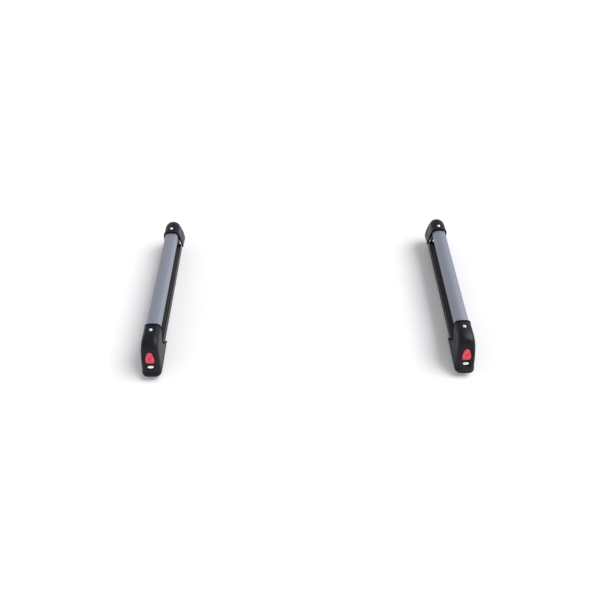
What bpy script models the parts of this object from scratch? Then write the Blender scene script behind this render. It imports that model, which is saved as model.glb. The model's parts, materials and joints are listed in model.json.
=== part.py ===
"""Roof ski rack: a pair of clamp bars. Metres, +Z up, +X right, -Y the lock end, +Y the hinge end."""

import math

import bmesh
import bpy
from mathutils import Matrix, Vector

MM = 0.001

# Layout of the pair
BAR_SPACING = 0.930
LENGTH = 0.585
FRONT_RIVET_Y = -0.184
REAR_RIVET_Y = 0.247
FOOT_Y = 0.150

# Heights of the stack, from the T-bolt's head up
HEAD_TOP = 4.0 * MM
SADDLE_BOTTOM = 7.0 * MM
LOWER_BOTTOM = 13.0 * MM
LOWER_TOP = 35.0 * MM
GAP_BOTTOM = 44.0 * MM
GAP_TOP = 71.0 * MM
UPPER_BOTTOM = 80.0 * MM
UPPER_TOP = 102.0 * MM
COVER_TOP = 106.0 * MM

PROFILE_HALF = 21.0 * MM
CLEAR = 0.3 * MM
WALL = 3.0 * MM

LOWER_Y = (-0.225, 0.235)
UPPER_Y = (-0.199, 0.256)
PAD_Y = (-0.168, 0.226)
MOUTH_FRONT_Y = -0.162
MOUTH_REAR_Y = 0.227
NOTCH_Z, NOTCH_SPREAD, NOTCH_DEPTH = 53.0 * MM, 24.0 * MM, 33.0 * MM

HINGE = Vector((0.0, 0.258, 0.045))
HINGE_PIN_R = 3.0 * MM

# The sloping front face: a point low on it, and its tilt from the horizontal
SLOPE_FOOT = Vector((0.0, -0.2835, 0.030))
SLOPE_TILT = math.radians(57.0)
LOCK_UP = 14.8 * MM
BUTTON_FOOT = 27.2 * MM
BUTTON_TALL = 33.6 * MM
BUTTON_HALF = 14.0 * MM
FRONT_WALL = 5.5 * MM
STEM_UP = 41.0 * MM
CATCH_UP = 28.0 * MM
CATCH_DEEP = 17.0 * MM
CATCH_PIN_R = 2.0 * MM


def clear_scene():
    for obj in list(bpy.data.objects):
        bpy.data.objects.remove(obj, do_unlink=True)


def material(name, color, metallic, roughness):
    made = bpy.data.materials.new(name)
    made.use_nodes = True
    shader = made.node_tree.nodes["Principled BSDF"]
    shader.inputs["Base Color"].default_value = (*color, 1.0)
    shader.inputs["Metallic"].default_value = metallic
    shader.inputs["Roughness"].default_value = roughness
    return made


def make(name, verts, faces, mat, place=None):
    """An object from points and faces, with its normals facing out."""
    mesh = bpy.data.meshes.new(name)
    mesh.from_pydata([tuple(v) for v in verts], [], faces)
    bm = bmesh.new()
    bm.from_mesh(mesh)
    bmesh.ops.recalc_face_normals(bm, faces=bm.faces)
    bm.to_mesh(mesh)
    bm.free()
    if mat is not None:
        mesh.materials.append(mat)
    obj = bpy.data.objects.new(name, mesh)
    bpy.context.scene.collection.objects.link(obj)
    if place is not None:
        obj.matrix_world = place
    return obj


def rings(name, stack, mat, place=None):
    """A closed solid through a stack of rings with equal numbers of points."""
    n = len(stack[0])
    verts = [p for ring in stack for p in ring]
    faces = [list(range(n)), [len(verts) - n + i for i in range(n)]]
    for k in range(len(stack) - 1):
        a, b = k * n, (k + 1) * n
        faces += [(a + i, a + (i + 1) % n, b + (i + 1) % n, b + i) for i in range(n)]
    return make(name, verts, faces, mat, place)


def along_y(name, outline, y0, y1, mat, place=None):
    """An (x, z) outline extruded from y0 to y1."""
    stack = [[(x, y, z) for x, z in outline] for y in (y0, y1)]
    return rings(name, stack, mat, place)


def along_x(name, outline, x0, x1, mat, place=None):
    """A (y, z) outline extruded from x0 to x1."""
    stack = [[(x, y, z) for y, z in outline] for x in (x0, x1)]
    return rings(name, stack, mat, place)


def along_z(name, outline, z0, z1, mat, place=None):
    """An (x, y) outline extruded from z0 to z1."""
    stack = [[(x, y, z) for x, y in outline] for z in (z0, z1)]
    return rings(name, stack, mat, place)


def turned(name, profile, steps, mat, place=None):
    """A solid of revolution about Z from (radius, z) points, bottom to top."""
    stack = []
    for r, z in profile:
        turn = [2 * math.pi * (i + 0.5) / steps for i in range(steps)]
        stack.append([(r * math.cos(a), r * math.sin(a), z) for a in turn])
    return rings(name, stack, mat, place)


def box(name, x, y, z, mat=None, place=None):
    """A box from three (low, high) pairs."""
    outline = [(x[0], y[0]), (x[1], y[0]), (x[1], y[1]), (x[0], y[1])]
    return along_z(name, outline, z[0], z[1], mat, place)


def boolean(obj, tool, operation="DIFFERENCE"):
    tool.hide_render = True
    tool.display_type = "WIRE"
    step = obj.modifiers.new(tool.name, "BOOLEAN")
    step.operation = operation
    step.solver = "EXACT"
    step.object = tool


def round_smooth(obj, angle=35.0):
    for face in obj.data.polygons:
        face.use_smooth = True
    obj.data.set_sharp_from_angle(angle=math.radians(angle))


def mirrored(half):
    """A closed outline from its +x half, which runs from low to high."""
    return list(half) + [(-x, z) for x, z in reversed(half) if x > 1e-6]


def circle(r, steps, cx=0.0, cy=0.0):
    turn = [2 * math.pi * (i + 0.5) / steps for i in range(steps)]
    return [(cx + r * math.cos(a), cy + r * math.sin(a)) for a in turn]


def about_x(center):
    """Placement that turns local Z to lie along world X, at the given point."""
    return Matrix.Translation(center) @ Matrix.Rotation(math.radians(90), 4, "Y")


def slope_frame():
    """Local x across, y up the sloping front face, z out of it."""
    c, s = math.cos(SLOPE_TILT), math.sin(SLOPE_TILT)
    turn = Matrix(((1, 0, 0, 0), (0, c, -s, 0), (0, s, c, 0), (0, 0, 0, 1)))
    return Matrix.Translation(SLOPE_FOOT) @ turn


def on_slope(up, deep):
    return slope_frame() @ Matrix.Translation((0, up, -deep))


# ---- profiles and rubbers ----


def upper_outline():
    mm = [(7, 80), (21, 80), (21, 91), (20.3, 94.6), (18.4, 97.6), (15.2, 99.7)]
    mm += [(9.0, 101.4), (3.0, 102.0)]
    outer = [(x * MM, z * MM) for x, z in mm]
    groove = [(x * MM, z * MM) for x, z in ((11, 87), (11, 82), (7, 82))]
    return mirrored(groove + outer)


def chamber_outline():
    mm = [(17.5, 89.2), (18.8, 90.4), (18.8, 92.4), (14.0, 97.4), (7.0, 99.4)]
    return mirrored([(x * MM, z * MM) for x, z in mm])


def make_upper_profile(prefix, at, mats):
    bar = along_y(prefix + "upper_profile", upper_outline(), *UPPER_Y, mats["grey"], at)
    inside = along_y(prefix + "cut_chamber", chamber_outline(), -0.3, 0.3, None, at)
    boolean(bar, inside)
    for tag, y in (("front", FRONT_RIVET_Y), ("rear", REAR_RIVET_Y)):
        place = at @ Matrix.Translation((0, y, 0))
        hole = turned(prefix + "cut_bar_" + tag, [(2.8 * MM, 0.0965), (2.8 * MM, 0.110)], 12,
                      None, place)
        boolean(bar, hole)
    round_smooth(bar, 25)


def pad_outline(face, back, root):
    """Rubber strip: ridged face, flat back, and a T root. Signs follow the direction."""
    up = 1.0 if root > face else -1.0
    lip = back + up * (2.0 * MM + 2 * CLEAR)
    half = [(0.0, face + up * 0.9 * MM), (3.2 * MM, face), (5.4 * MM, face),
            (6.8 * MM, face + up * 2.6 * MM), (8.2 * MM, face + up * 0.2 * MM),
            (12.6 * MM, face + up * 0.2 * MM), (17.0 * MM, face + up * 4.4 * MM),
            (17.0 * MM, back), (6.7 * MM, back), (6.7 * MM, lip), (10.7 * MM, lip),
            (10.7 * MM, root), (0.0, root)]
    return mirrored(half)


def make_pads(prefix, at, mats):
    upper = pad_outline(GAP_TOP, UPPER_BOTTOM - CLEAR, UPPER_BOTTOM + 6.7 * MM)
    lower = pad_outline(GAP_BOTTOM, LOWER_TOP + CLEAR, LOWER_TOP - 6.7 * MM)
    along_y(prefix + "upper_pad", upper, *PAD_Y, mats["rubber"], at)
    along_y(prefix + "lower_pad", lower, *PAD_Y, mats["rubber"], at)


def lower_outline():
    mm = [(8.5, 22), (8.5, 15.5), (4, 15.5), (4, 13), (20, 13), (21, 14), (21, 34),
          (20, 35), (7, 35), (7, 33), (11, 33), (11, 28)]
    return mirrored([(x * MM, z * MM) for x, z in mm])


def make_lower_profile(prefix, at, mats):
    outline = lower_outline()
    bar = along_y(prefix + "lower_profile", outline, *LOWER_Y, mats["black_metal"], at)
    for tag, side in (("a", 1), ("b", -1)):
        low, high = sorted((side * 12.8 * MM, side * 19.4 * MM))
        tool = box(prefix + "cut_side_" + tag, (low, high), (-0.3, 0.3), (15 * MM, 33 * MM),
                   None, at)
        boolean(bar, tool)


def end_plate(name, y0, y1, mat, at):
    mm = [(19, 13.3), (20.8, 15.0), (20.8, 33.0), (19, 34.8)]
    return along_y(name, mirrored([(x * MM, z * MM) for x, z in mm]), y0, y1, mat, at)


def add_prongs(plate, prefix, y0, y1, at):
    """Plugs that fill the lower profile's two side chambers."""
    for tag, side in (("a", 1), ("b", -1)):
        low, high = sorted((side * 13.1 * MM, side * 19.1 * MM))
        tool = box(prefix + tag, (low, high), (y0, y1), (15.4 * MM, 32.6 * MM), None, at)
        boolean(plate, tool, "UNION")


# ---- hinge end ----


def eye_outline(r, top_y0, top_y1, top_z):
    """Round eye about the hinge axis that runs straight up or sideways to a flat."""
    cy, cz = HINGE.y, HINGE.z
    turn = [math.radians(a) for a in range(180, 361, 22)]
    arc = [(cy + r * math.cos(a), cz + r * math.sin(a)) for a in turn]
    return arc + [(top_y1, top_z), (top_y0, top_z)]


def ear_outline(r, back_y):
    cy, cz = HINGE.y, HINGE.z
    turn = [math.radians(a) for a in range(-75, 91, 15)]
    arc = [(cy + r * math.cos(a), cz + r * math.sin(a)) for a in turn]
    return arc + [(back_y, cz + 7 * MM), (back_y, 15 * MM), (back_y + 4 * MM, 15 * MM)]


def hinge_hole(name, r, at):
    return turned(name, [(r, -0.03), (r, 0.03)], 24, None, at @ about_x(HINGE))


def make_rear_base(prefix, at, mats):
    y0 = LOWER_Y[1] + CLEAR
    base = end_plate(prefix + "rear_base", y0, y0 + 6 * MM, mats["black_plastic"], at)
    add_prongs(base, prefix + "cut_rear_prong_", y0 - 20 * MM, y0 + 2 * MM, at)
    for tag, side in (("a", 1), ("b", -1)):
        low, high = sorted((side * 9.3 * MM, side * 15.0 * MM))
        outline = ear_outline(9.0 * MM, y0 + 3 * MM)
        ear = along_x(prefix + "cut_ear_" + tag, outline, low, high, None, at)
        boolean(base, ear, "UNION")
    boolean(base, hinge_hole(prefix + "cut_base_hole", HINGE_PIN_R + 0.08 * MM, at))


def make_hinge_pin(prefix, at, mats):
    r = HINGE_PIN_R
    shape = [(r - 0.6 * MM, -17.5 * MM), (r, -16.9 * MM), (r, 15.2 * MM), (5.2 * MM, 15.4 * MM),
             (5.2 * MM, 17.0 * MM), (3.4 * MM, 18.2 * MM)]
    pin = turned(prefix + "hinge_pin", shape, 24, mats["steel"], at @ about_x(HINGE))
    round_smooth(pin)


def make_rear_pivot(prefix, at, mats):
    """Hinge block that slides into the upper profile's groove and hangs down to the pin."""
    mm = [(6.7, 79.7), (6.7, 82.3), (10.7, 82.3), (10.7, 86.7), (0.0, 86.7)]
    half = [(x * MM, z * MM) for x, z in [(0.0, 73.0), (15, 73.0), (16.5, 74.5), (16.5, 79.7)]]
    outline = mirrored(half + [(x * MM, z * MM) for x, z in mm])
    block = along_y(prefix + "rear_pivot", outline, 0.2275, 0.2618, mats["black_plastic"], at)
    tongue = eye_outline(8.5 * MM, 0.2475, 0.2615, 0.076)
    boolean(block, along_x(prefix + "cut_tongue", tongue, -8.8 * MM, 8.8 * MM, None, at),
            "UNION")
    boolean(block, hinge_hole(prefix + "cut_pivot_hole", HINGE_PIN_R + 0.08 * MM, at))


# ---- covers ----


def cover_ring(z, mouth_y, end_y, mouth_half, half, rx, ry, wide_y, arc=5):
    """One level of a cover: open flat end at the mouth, rounded corners at the far end."""
    way = 1.0 if end_y > mouth_y else -1.0
    right = [(mouth_half, mouth_y), (half, wide_y)]
    for i in range(arc + 1):
        a = 0.5 * math.pi * i / arc
        right.append((half - rx + rx * math.cos(a), end_y - way * (ry - ry * math.sin(a))))
    return [(x, y, z) for x, y in right] + [(-x, y, z) for x, y in reversed(right)]


HOUSING_LEVELS = (
    # z, front y, half width, half width at the mouth, corner radius (mm; y in metres)
    (16.0, -0.2920, 27.6, 27.0, 16.5),
    (19.5, -0.2925, 28.6, 27.5, 17.0),
    (24.0, -0.2888, 28.8, 27.7, 16.5),
    (30.0, -0.2835, 28.8, 27.7, 15.0),
    (40.0, -0.2770, 28.4, 27.5, 13.0),
    (50.0, -0.2705, 28.0, 27.2, 12.0),
    (60.0, -0.2640, 27.5, 26.8, 11.5),
    (70.0, -0.2575, 26.8, 26.3, 11.5),
    (84.0, -0.2484, 25.8, 25.5, 12.5),
    (93.0, -0.2412, 24.9, 24.7, 15.5),
    (99.0, -0.2340, 23.2, 22.9, 17.5),
    (103.2, -0.2250, 19.0, 18.4, 16.0),
    (105.3, -0.2135, 12.5, 11.8, 11.0),
    (106.0, -0.2000, 5.6, 5.0, 5.0),
)

HOOD_LEVELS = (
    # z, back y, half width, half width at the mouth, corner across and along (mm; y in metres)
    (35.0, 0.2860, 32.6, 30.2, 20, 16),
    (50.0, 0.2890, 31.4, 29.8, 20, 17),
    (70.0, 0.2918, 29.0, 28.5, 20, 19),
    (84.0, 0.2925, 26.4, 27.2, 21, 22),
    (93.0, 0.2915, 24.8, 26.0, 21, 25),
    (99.0, 0.2885, 23.6, 24.0, 20, 27),
    (103.2, 0.2840, 17.8, 18.3, 15, 27),
    (105.3, 0.2780, 10.8, 11.3, 9.4, 25),
    (106.0, 0.2690, 4.4, 4.9, 3.8, 18),
)


def notched_mouth(z):
    """The housing's mouth, set back between the bars so that a ski can lie close to the lock."""
    return MOUTH_FRONT_Y - NOTCH_DEPTH * math.exp(-(((z - NOTCH_Z) / NOTCH_SPREAD) ** 2))


def housing_rings(inset, front_inset, low_z=None, mouth_y=None):
    stack = []
    for z, y, half, mouth, corner in HOUSING_LEVELS:
        if inset and z > 105.5:
            continue
        level = z * MM - (0.9 * inset if z > 95 else 0.0)
        r = max(corner * MM - 0.5 * inset, 2 * MM)
        end = y + front_inset
        wide_y = max(-0.225, end + r + 1.5 * MM)
        mouth_at = notched_mouth(level) if mouth_y is None else mouth_y
        stack.append(cover_ring(level, mouth_at, end, mouth * MM - inset, half * MM - inset,
                                r, r, wide_y))
    if low_z is not None:
        stack.insert(0, [(x, y, low_z) for x, y, _ in stack[0]])
    return stack


def hood_rings(inset, low_z=None, mouth_y=MOUTH_REAR_Y):
    stack = []
    for z, y, half, mouth, across, along in HOOD_LEVELS:
        if inset and z > 105.5:
            continue
        level = z * MM - (0.9 * inset if z > 95 else 0.0)
        wide, end = half * MM - inset, y - inset
        rx, ry = min(across * MM, 0.9 * wide), along * MM - 0.5 * inset
        stack.append(cover_ring(level, mouth_y, end, mouth * MM - inset, wide, rx, ry,
                                end - ry - 2 * MM))
    if low_z is not None:
        stack.insert(0, [(x, y, low_z) for x, y, _ in stack[0]])
    return stack


def rivet_seat(cover, prefix, y, at):
    place = at @ Matrix.Translation((0, y, 0))
    dish = turned(prefix + "_dish", [(7.4 * MM, 0.1042), (8.4 * MM, 0.1075)], 20, None, place)
    hole = turned(prefix + "_hole", [(2.7 * MM, 0.095), (2.7 * MM, 0.110)], 12, None, place)
    boolean(cover, dish)
    boolean(cover, hole)


def make_rear_hood(prefix, at, mats):
    hood = rings(prefix + "rear_hood", hood_rings(0.0), mats["black_plastic"], at)
    inside = rings(prefix + "cut_hood", hood_rings(WALL, 0.030, MOUTH_REAR_Y - 4 * MM), None, at)
    boolean(hood, inside)
    rivet_seat(hood, prefix + "cut_hood", REAR_RIVET_Y, at)
    round_smooth(hood, 40)


def make_rivet(name, y, at, mats):
    shape = [(1.6 * MM, 0.0950), (3.6 * MM, 0.0962), (3.8 * MM, 0.0985), (2.5 * MM, 0.0990),
             (2.5 * MM, 0.1044), (5.4 * MM, 0.1045), (5.4 * MM, 0.1053), (4.6 * MM, 0.1067),
             (3.0 * MM, 0.1077), (1.0 * MM, 0.1081)]
    place = at @ Matrix.Translation((0, y, 0))
    round_smooth(turned(name, shape, 16, mats["chrome"], place))


# ---- lock end ----


def button_outline(grow=0.0):
    """Rounded triangle with bulging sides, apex up the slope, in the slope's frame."""
    foot, top = BUTTON_FOOT, BUTTON_FOOT + BUTTON_TALL
    corner, tip = 6.0 * MM, 9.0 * MM
    wide = BUTTON_HALF - corner
    side_x, side_y = 12.7 * MM + grow, foot + 14.5 * MM
    centers = [(wide, foot + corner, corner, 262, 372), (0.0, top - tip, tip, 18, 162),
               (-wide, foot + corner, corner, 168, 278)]
    points = []
    for cx, cy, r, start, stop in centers:
        for i in range(5):
            a = math.radians(start + (stop - start) * i / 4)
            points.append((cx + (r + grow) * math.cos(a), cy + (r + grow) * math.sin(a)))
    return points[:5] + [(side_x, side_y)] + points[5:10] + [(-side_x, side_y)] + points[10:]


def button_ring(grow, height):
    return [(x, y, height) for x, y in button_outline(grow)]


def egg(grow, height):
    """Dished area round the button."""
    ring = []
    for i in range(20):
        a = 2 * math.pi * i / 20
        half = (19.0 - 2.5 * math.sin(a)) * MM + grow
        ring.append((half * math.cos(a), 49.6 * MM + (25.0 * MM + grow) * math.sin(a), height))
    return ring


def oval(rx, ry, height, up):
    ring = []
    for i in range(16):
        a = 2 * math.pi * (i + 0.5) / 16
        ring.append((rx * math.cos(a), up + ry * math.sin(a), height))
    return ring


def make_lock_housing(prefix, at, mats):
    slope = at @ slope_frame()
    name = prefix + "lock_housing"
    shell = rings(name, housing_rings(0.0, 0.0), mats["black_plastic"], at)
    inner = housing_rings(WALL, FRONT_WALL, 0.010, MOUTH_FRONT_Y + 4 * MM)
    boolean(shell, rings(prefix + "cut_housing", inner, None, at))
    shelf = box(prefix + "cut_shelf", (-26.4 * MM, 26.4 * MM), (34.6 * MM, 48.0 * MM),
                (-16.3 * MM, -14.6 * MM), None, slope)
    boolean(shell, shelf, "UNION")
    for tag, side in (("a", 1), ("b", -1)):
        low, high = sorted((side * 7.5 * MM, side * 10.5 * MM))
        cheek = box(prefix + "cut_cheek_" + tag, (low, high), (23.8 * MM, 38.0 * MM),
                    (-21.5 * MM, -13.2 * MM), None, slope)
        boolean(shell, cheek, "UNION")
    dish = [egg(0.0, -2.2 * MM), egg(1.2 * MM, 1.0 * MM)]
    boolean(shell, rings(prefix + "cut_dish", dish, None, slope))
    window = [button_ring(0.4 * MM, -9.5 * MM), button_ring(0.4 * MM, 3.0 * MM)]
    boolean(shell, rings(prefix + "cut_window", window, None, slope))
    seat = [oval(14 * MM, 7.8 * MM, -2.4 * MM, LOCK_UP), oval(15.6 * MM, 8.6 * MM, 2 * MM, LOCK_UP)]
    boolean(shell, rings(prefix + "cut_lock_seat", seat, None, slope))
    barrel = along_z(prefix + "cut_barrel", circle(6.9 * MM, 20, 0, LOCK_UP), -12 * MM, 3 * MM,
                     None, slope)
    boolean(shell, barrel)
    stem = box(prefix + "cut_stem", (-3.9 * MM, 3.9 * MM), (38.6 * MM, 43.4 * MM),
               (-20 * MM, -12 * MM), None, slope)
    boolean(shell, stem)
    place = at @ Matrix.Translation(on_slope(CATCH_UP, CATCH_DEEP).translation)
    place = place @ Matrix.Rotation(math.radians(90), 4, "Y")
    boolean(shell, turned(prefix + "cut_catch_hole",
                          [(CATCH_PIN_R + 0.12 * MM, -0.012), (CATCH_PIN_R + 0.12 * MM, 0.012)],
                          16, None, place))
    rivet_seat(shell, prefix + "cut_housing", FRONT_RIVET_Y, at)
    round_smooth(shell, 40)


def make_button(prefix, at, mats):
    """Crowned face, straight sides, a flange behind the wall, and a stem to the catch."""
    stack = [button_ring(1.6 * MM, -8.0 * MM), button_ring(1.6 * MM, -6.0 * MM),
             button_ring(0.0, -5.9 * MM), button_ring(0.0, -0.6 * MM),
             button_ring(-1.0 * MM, 0.4 * MM), button_ring(-3.2 * MM, 1.0 * MM)]
    mat = mats["red_plastic"]
    button = rings(prefix + "release_button", stack, mat, at @ slope_frame())
    stem = box(prefix + "cut_button_stem", (-3.5 * MM, 3.5 * MM), (39 * MM, 43 * MM),
               (-16.7 * MM, -7.0 * MM), None, at @ slope_frame())
    boolean(button, stem, "UNION")
    round_smooth(button, 30)


def make_spring(prefix, at, mats):
    """Compression spring round the stem, between the button's flange and the shelf."""
    turns, steps, sides = 2.5, 12, 5
    wire, radius = 0.45 * MM, 5.7 * MM
    low, high = -14.6 * MM + CLEAR + wire, -8.0 * MM - CLEAR - wire
    count = int(turns * steps)
    stack = []
    for i in range(count + 1):
        a = 2 * math.pi * i / steps
        z = low + (high - low) * i / count
        ring = []
        for k in range(sides):
            b = 2 * math.pi * k / sides
            r = radius + wire * math.cos(b)
            ring.append((r * math.cos(a), STEM_UP + r * math.sin(a), z + wire * math.sin(b)))
        stack.append(ring)
    round_smooth(rings(prefix + "button_spring", stack, mats["steel"], at @ slope_frame()))


def make_catch(prefix, at, mats):
    """Two-armed catch: the stem pushes the upper arm and the nose swings off the teeth."""
    centre = on_slope(CATCH_UP, CATCH_DEEP).translation
    mm = [(-3.0, -3.2), (0.6, -4.3), (15.6, -12.4), (19.6, -8.6), (20.2, -5.4), (14.6, -5.0),
          (5.4, 0.6), (13.0, 12.2), (9.6, 14.2), (4.2, 6.2), (-1.2, 4.2), (-4.2, 1.0)]
    outline = [(y * MM, z * MM) for y, z in mm]
    catch = along_x(prefix + "latch_pawl", outline, -7.1 * MM, 7.1 * MM, mats["steel"],
                    at @ Matrix.Translation(centre))
    hole = [(CATCH_PIN_R + 0.08 * MM, -0.012), (CATCH_PIN_R + 0.08 * MM, 0.012)]
    boolean(catch, turned(prefix + "cut_pawl", hole, 16, None, at @ about_x(centre)))
    pin = [(CATCH_PIN_R, -10.4 * MM), (CATCH_PIN_R, 10.4 * MM)]
    round_smooth(turned(prefix + "pawl_pin", pin, 16, mats["steel"], at @ about_x(centre)))


def make_lock_cylinder(prefix, at, mats):
    """Round barrel with a key slot in its face and a cam at its inner end."""
    shape = [(6.5 * MM, -19.4 * MM), (6.5 * MM, -1.4 * MM), (6.0 * MM, -0.9 * MM),
             (5.0 * MM, -0.8 * MM)]
    place = at @ on_slope(LOCK_UP, 0.0)
    barrel = turned(prefix + "lock_cylinder", shape, 20, mats["chrome"], place)
    cam = box(prefix + "cut_cam", (-3.4 * MM, 7.6 * MM), (-3.0 * MM, 3.0 * MM),
              (-21.4 * MM, -19.0 * MM), None, place)
    boolean(barrel, cam, "UNION")
    slot = box(prefix + "cut_key", (-3.6 * MM, 3.6 * MM), (-0.6 * MM, 0.6 * MM),
               (-4 * MM, 1 * MM), None, place)
    boolean(barrel, slot)
    round_smooth(barrel)


def make_front_base(prefix, at, mats):
    """End cap with a toothed post that the catch closes on."""
    y1 = LOWER_Y[0] - CLEAR
    y0 = y1 - 6 * MM
    base = end_plate(prefix + "front_base", y0, y1, mats["black_plastic"], at)
    add_prongs(base, prefix + "cut_front_prong_", y1 - 2 * MM, y1 + 20 * MM, at)
    teeth = [(y1, 0.020), (y1, 0.0535), (y0 + 2 * MM, 0.0545)]
    for z in (0.0520, 0.0465, 0.0410):
        teeth += [(y0 - 1.3 * MM, z), (y0 + 0.6 * MM, z - 3.6 * MM)]
    teeth += [(y0 + 0.6 * MM, 0.020)]
    post = along_x(prefix + "cut_post", teeth, -6.5 * MM, 6.5 * MM, None, at)
    boolean(base, post, "UNION")


# ---- mounting hardware ----


def make_foot(prefix, at, mats):
    """T-bolt, saddle and channel nut, at the origin of the placement."""
    square = [(-10, -10), (10, -10), (10, 10), (-10, 10)]
    bolt = along_z(prefix + "t_bolt", [(x * MM, y * MM) for x, y in square], 0.0, HEAD_TOP,
                   mats["steel"], at)
    shank = along_z(prefix + "cut_shank", circle(3.0 * MM, 16), 2 * MM, 21.2 * MM, None, at)
    boolean(bolt, shank, "UNION")
    top = LOWER_BOTTOM - CLEAR
    shape = [(14, -22), (17, -19), (17, 19), (14, 22)]
    outline = mirrored([(x * MM, y * MM) for x, y in shape])
    foot = [[(x, y, SADDLE_BOTTOM) for x, y in outline],
            [(x * 1.12, y * 1.05, top) for x, y in outline]]
    saddle = rings(prefix + "saddle", foot, mats["rubber"], at)
    through = along_z(prefix + "cut_saddle", circle(3.4 * MM, 16), 0.0, 0.03, None, at)
    boolean(saddle, through)
    nut = box(prefix + "channel_nut", (-8.2 * MM, 8.2 * MM), (-9 * MM, 9 * MM),
              (15.8 * MM, 20.4 * MM), mats["steel"], at)
    bore = along_z(prefix + "cut_nut", circle(3.15 * MM, 16), 0.0, 0.03, None, at)
    boolean(nut, bore)


def make_carrier(prefix, x, mats):
    at = Matrix.Translation((x, 0, 0))
    make_lower_profile(prefix, at, mats)
    make_upper_profile(prefix, at, mats)
    make_pads(prefix, at, mats)
    make_rear_base(prefix, at, mats)
    make_hinge_pin(prefix, at, mats)
    make_rear_pivot(prefix, at, mats)
    make_rear_hood(prefix, at, mats)
    make_rivet(prefix + "rear_rivet", REAR_RIVET_Y, at, mats)
    make_front_base(prefix, at, mats)
    make_lock_housing(prefix, at, mats)
    make_rivet(prefix + "front_rivet", FRONT_RIVET_Y, at, mats)
    make_button(prefix, at, mats)
    make_spring(prefix, at, mats)
    make_catch(prefix, at, mats)
    make_lock_cylinder(prefix, at, mats)
    for tag, y in (("front_", -FOOT_Y), ("rear_", FOOT_Y)):
        make_foot(prefix + tag, at @ Matrix.Translation((0, y, 0)), mats)


def main():
    clear_scene()
    mats = {
        "grey": material("profile_grey", (0.30, 0.32, 0.40), 0.4, 0.45),
        "black_metal": material("profile_black", (0.03, 0.03, 0.035), 0.3, 0.5),
        "rubber": material("rubber", (0.02, 0.02, 0.022), 0.0, 0.8),
        "black_plastic": material("black_plastic", (0.03, 0.03, 0.035), 0.0, 0.5),
        "red_plastic": material("red_plastic", (0.7, 0.05, 0.08), 0.0, 0.4),
        "chrome": material("chrome", (0.85, 0.86, 0.88), 1.0, 0.12),
        "steel": material("steel", (0.55, 0.56, 0.58), 1.0, 0.35),
    }
    make_carrier("left_", -BAR_SPACING / 2, mats)
    make_carrier("right_", BAR_SPACING / 2, mats)


main()
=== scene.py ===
import json
import math
import bmesh
import bpy
from mathutils import Matrix, Vector


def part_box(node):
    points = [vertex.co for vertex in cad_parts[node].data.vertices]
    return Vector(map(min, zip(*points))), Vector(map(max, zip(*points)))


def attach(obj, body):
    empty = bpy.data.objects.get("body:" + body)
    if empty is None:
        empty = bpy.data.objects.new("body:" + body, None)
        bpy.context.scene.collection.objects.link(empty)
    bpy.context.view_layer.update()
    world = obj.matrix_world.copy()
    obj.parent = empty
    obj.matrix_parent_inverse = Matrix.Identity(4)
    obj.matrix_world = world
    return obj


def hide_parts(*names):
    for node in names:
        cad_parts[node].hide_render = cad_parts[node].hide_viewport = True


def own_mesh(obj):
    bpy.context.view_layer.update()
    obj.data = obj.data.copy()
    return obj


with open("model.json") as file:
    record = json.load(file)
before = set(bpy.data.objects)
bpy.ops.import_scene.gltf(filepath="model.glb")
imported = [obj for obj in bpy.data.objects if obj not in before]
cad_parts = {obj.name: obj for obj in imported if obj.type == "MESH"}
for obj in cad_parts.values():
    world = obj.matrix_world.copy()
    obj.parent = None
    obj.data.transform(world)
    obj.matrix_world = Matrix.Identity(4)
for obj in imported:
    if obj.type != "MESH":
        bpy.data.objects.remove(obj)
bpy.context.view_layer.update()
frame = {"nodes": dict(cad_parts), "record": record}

# Lengths are in metres. Those in the tables, and those multiplied by MM, are in millimetres.
MM = 0.001
SIDES = ("left_", "right_")

# Where the CAD pieces are, as the frame gives them
UPPER_BOTTOM, UPPER_TOP = (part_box("left_upper_profile")[i].z for i in (0, 1))
LOWER_BOTTOM, LOWER_TOP = (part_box("left_lower_profile")[i].z for i in (0, 1))
GAP_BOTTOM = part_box("left_lower_pad")[1].z
GAP_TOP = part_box("left_upper_pad")[0].z
UPPER_Y = tuple(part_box("left_upper_profile")[i].y for i in (0, 1))
LOWER_Y = tuple(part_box("left_lower_profile")[i].y for i in (0, 1))
PAD_Y = tuple(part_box("left_upper_pad")[i].y for i in (0, 1))
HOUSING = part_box("left_lock_housing")
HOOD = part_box("left_rear_hood")
FRONT_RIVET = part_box("left_front_rivet")
REAR_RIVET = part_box("left_rear_rivet")
MOUTH_FRONT_Y = HOUSING[1].y
MOUTH_REAR_Y = HOOD[0].y
FRONT_RIVET_Y = (FRONT_RIVET[0].y + FRONT_RIVET[1].y) / 2
REAR_RIVET_Y = (REAR_RIVET[0].y + REAR_RIVET[1].y) / 2

# The bars and their rubbers
BAR_HALF = 21.0
BAR_CHAMFER = 0.0004
PAD_GAP, PAD_ROOT = 0.3 * MM, 6.7 * MM

# The notch that sets the housing's mouth back between the bars, and the top of both covers
NOTCH_Z, NOTCH_SPREAD, NOTCH_DEPTH = 53.0 * MM, 24.0 * MM, 33.0 * MM
COVER_TOP = 106.0 * MM
COVER_WALL, COVER_BEVEL_ANGLE, COVER_SMOOTH_ANGLE = 3.0, 42, 38

# The sloping face that holds the button and the lock. On it, a place is measured up the slope
# from its foot, and a height is measured out of it.
SLOPE_FOOT = Vector((0.0, HOUSING[0].y + 0.0090, 0.030))
SLOPE_TILT = math.radians(57.0)
LOCK_UP = 0.0148
BUTTON_FOOT, BUTTON_TALL, BUTTON_HALF = 0.0272, 0.0336, 0.0135
BUTTON_MIDDLE = BUTTON_FOOT + 0.42 * BUTTON_TALL
BUTTON_POINTS = 120
MARK_SHIFT = 0.2
STEM_UP = 0.041
SPRING_LOW, SPRING_HIGH = -0.0143, -0.0083

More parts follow.
